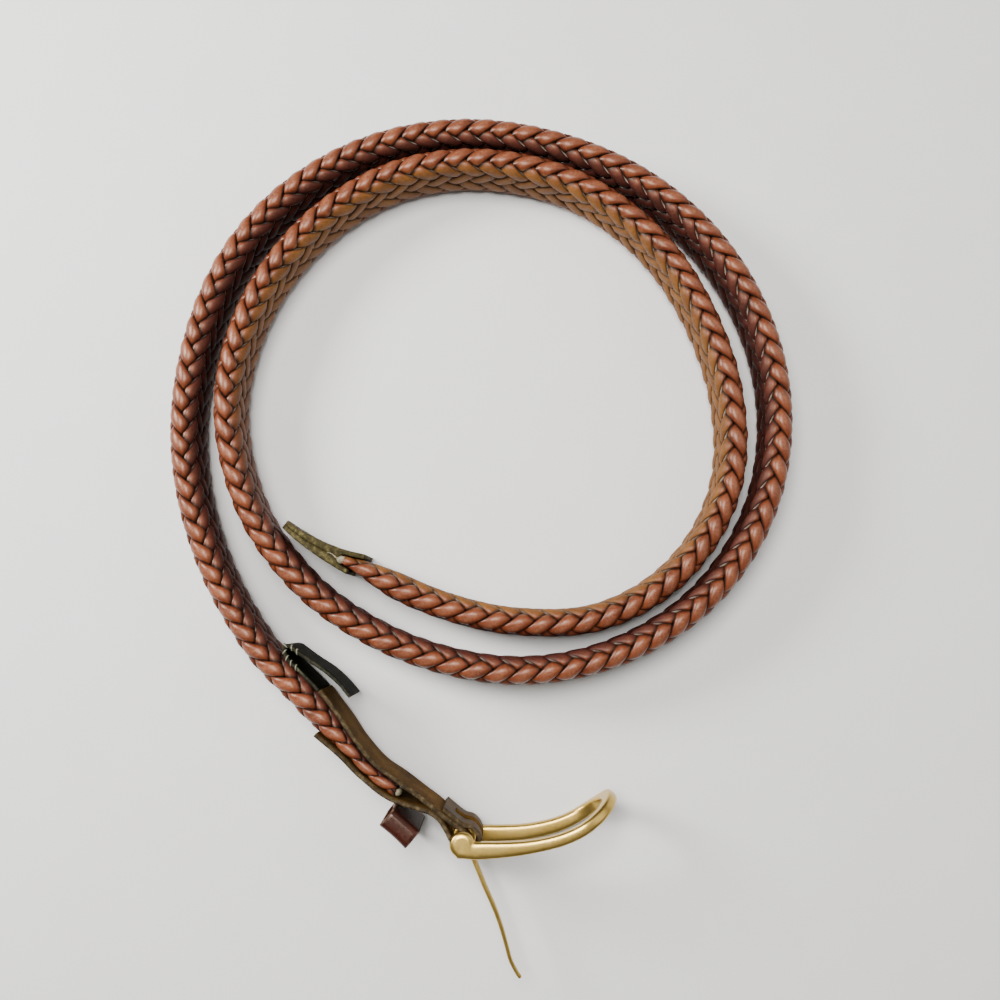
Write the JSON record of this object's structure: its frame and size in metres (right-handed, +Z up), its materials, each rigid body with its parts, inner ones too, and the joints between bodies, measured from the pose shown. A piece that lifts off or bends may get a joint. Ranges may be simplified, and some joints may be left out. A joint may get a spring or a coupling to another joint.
{
  "type": "braided belt",
  "caption": "Flat braided leather belt with a curved frame buckle and a prong, coiled and standing on its long edge.",
  "frame": {"origin": "on the surface that the belt stands on, under the middle of the whole coiled belt", "axes": "+Z up, across the strap's width; +Y from the buckle's side of the coil towards its far side; +X to the right"},
  "size_m": [0.1816, 0.249, 0.0276],
  "materials": {
    "braid_leather": "gloss",
    "tab_leather": "satin",
    "suede_leather": "matte",
    "dark_leather": "satin",
    "satin_brass": "satin"
  },
  "bodies": {
    "leather": {"braided_strap": "braid_leather", "tab_fold": "tab_leather", "tab_back_ply": "suede_leather", "curled_strip": "dark_leather", "keeper": "tab_leather", "tail_front_ply": "suede_leather", "tail_back_ply": "suede_leather"},
    "frame": {"buckle_frame": "satin_brass"},
    "prong": {"buckle_prong": "satin_brass"}
  },
  "joints": [
    {"name": "buckle_swing", "type": "hinge", "parent": "leather", "child": "frame", "pos_m": [-0.00492, -0.08561, 0.0138], "axis": [0, 0, 1], "range_deg": [-60, 45]},
    {"name": "prong_swing", "type": "hinge", "parent": "frame", "child": "prong", "pos_m": [-0.00492, -0.08561, 0.0138], "axis": [0, 0, 1], "range_deg": [-20, 74]}
  ]
}
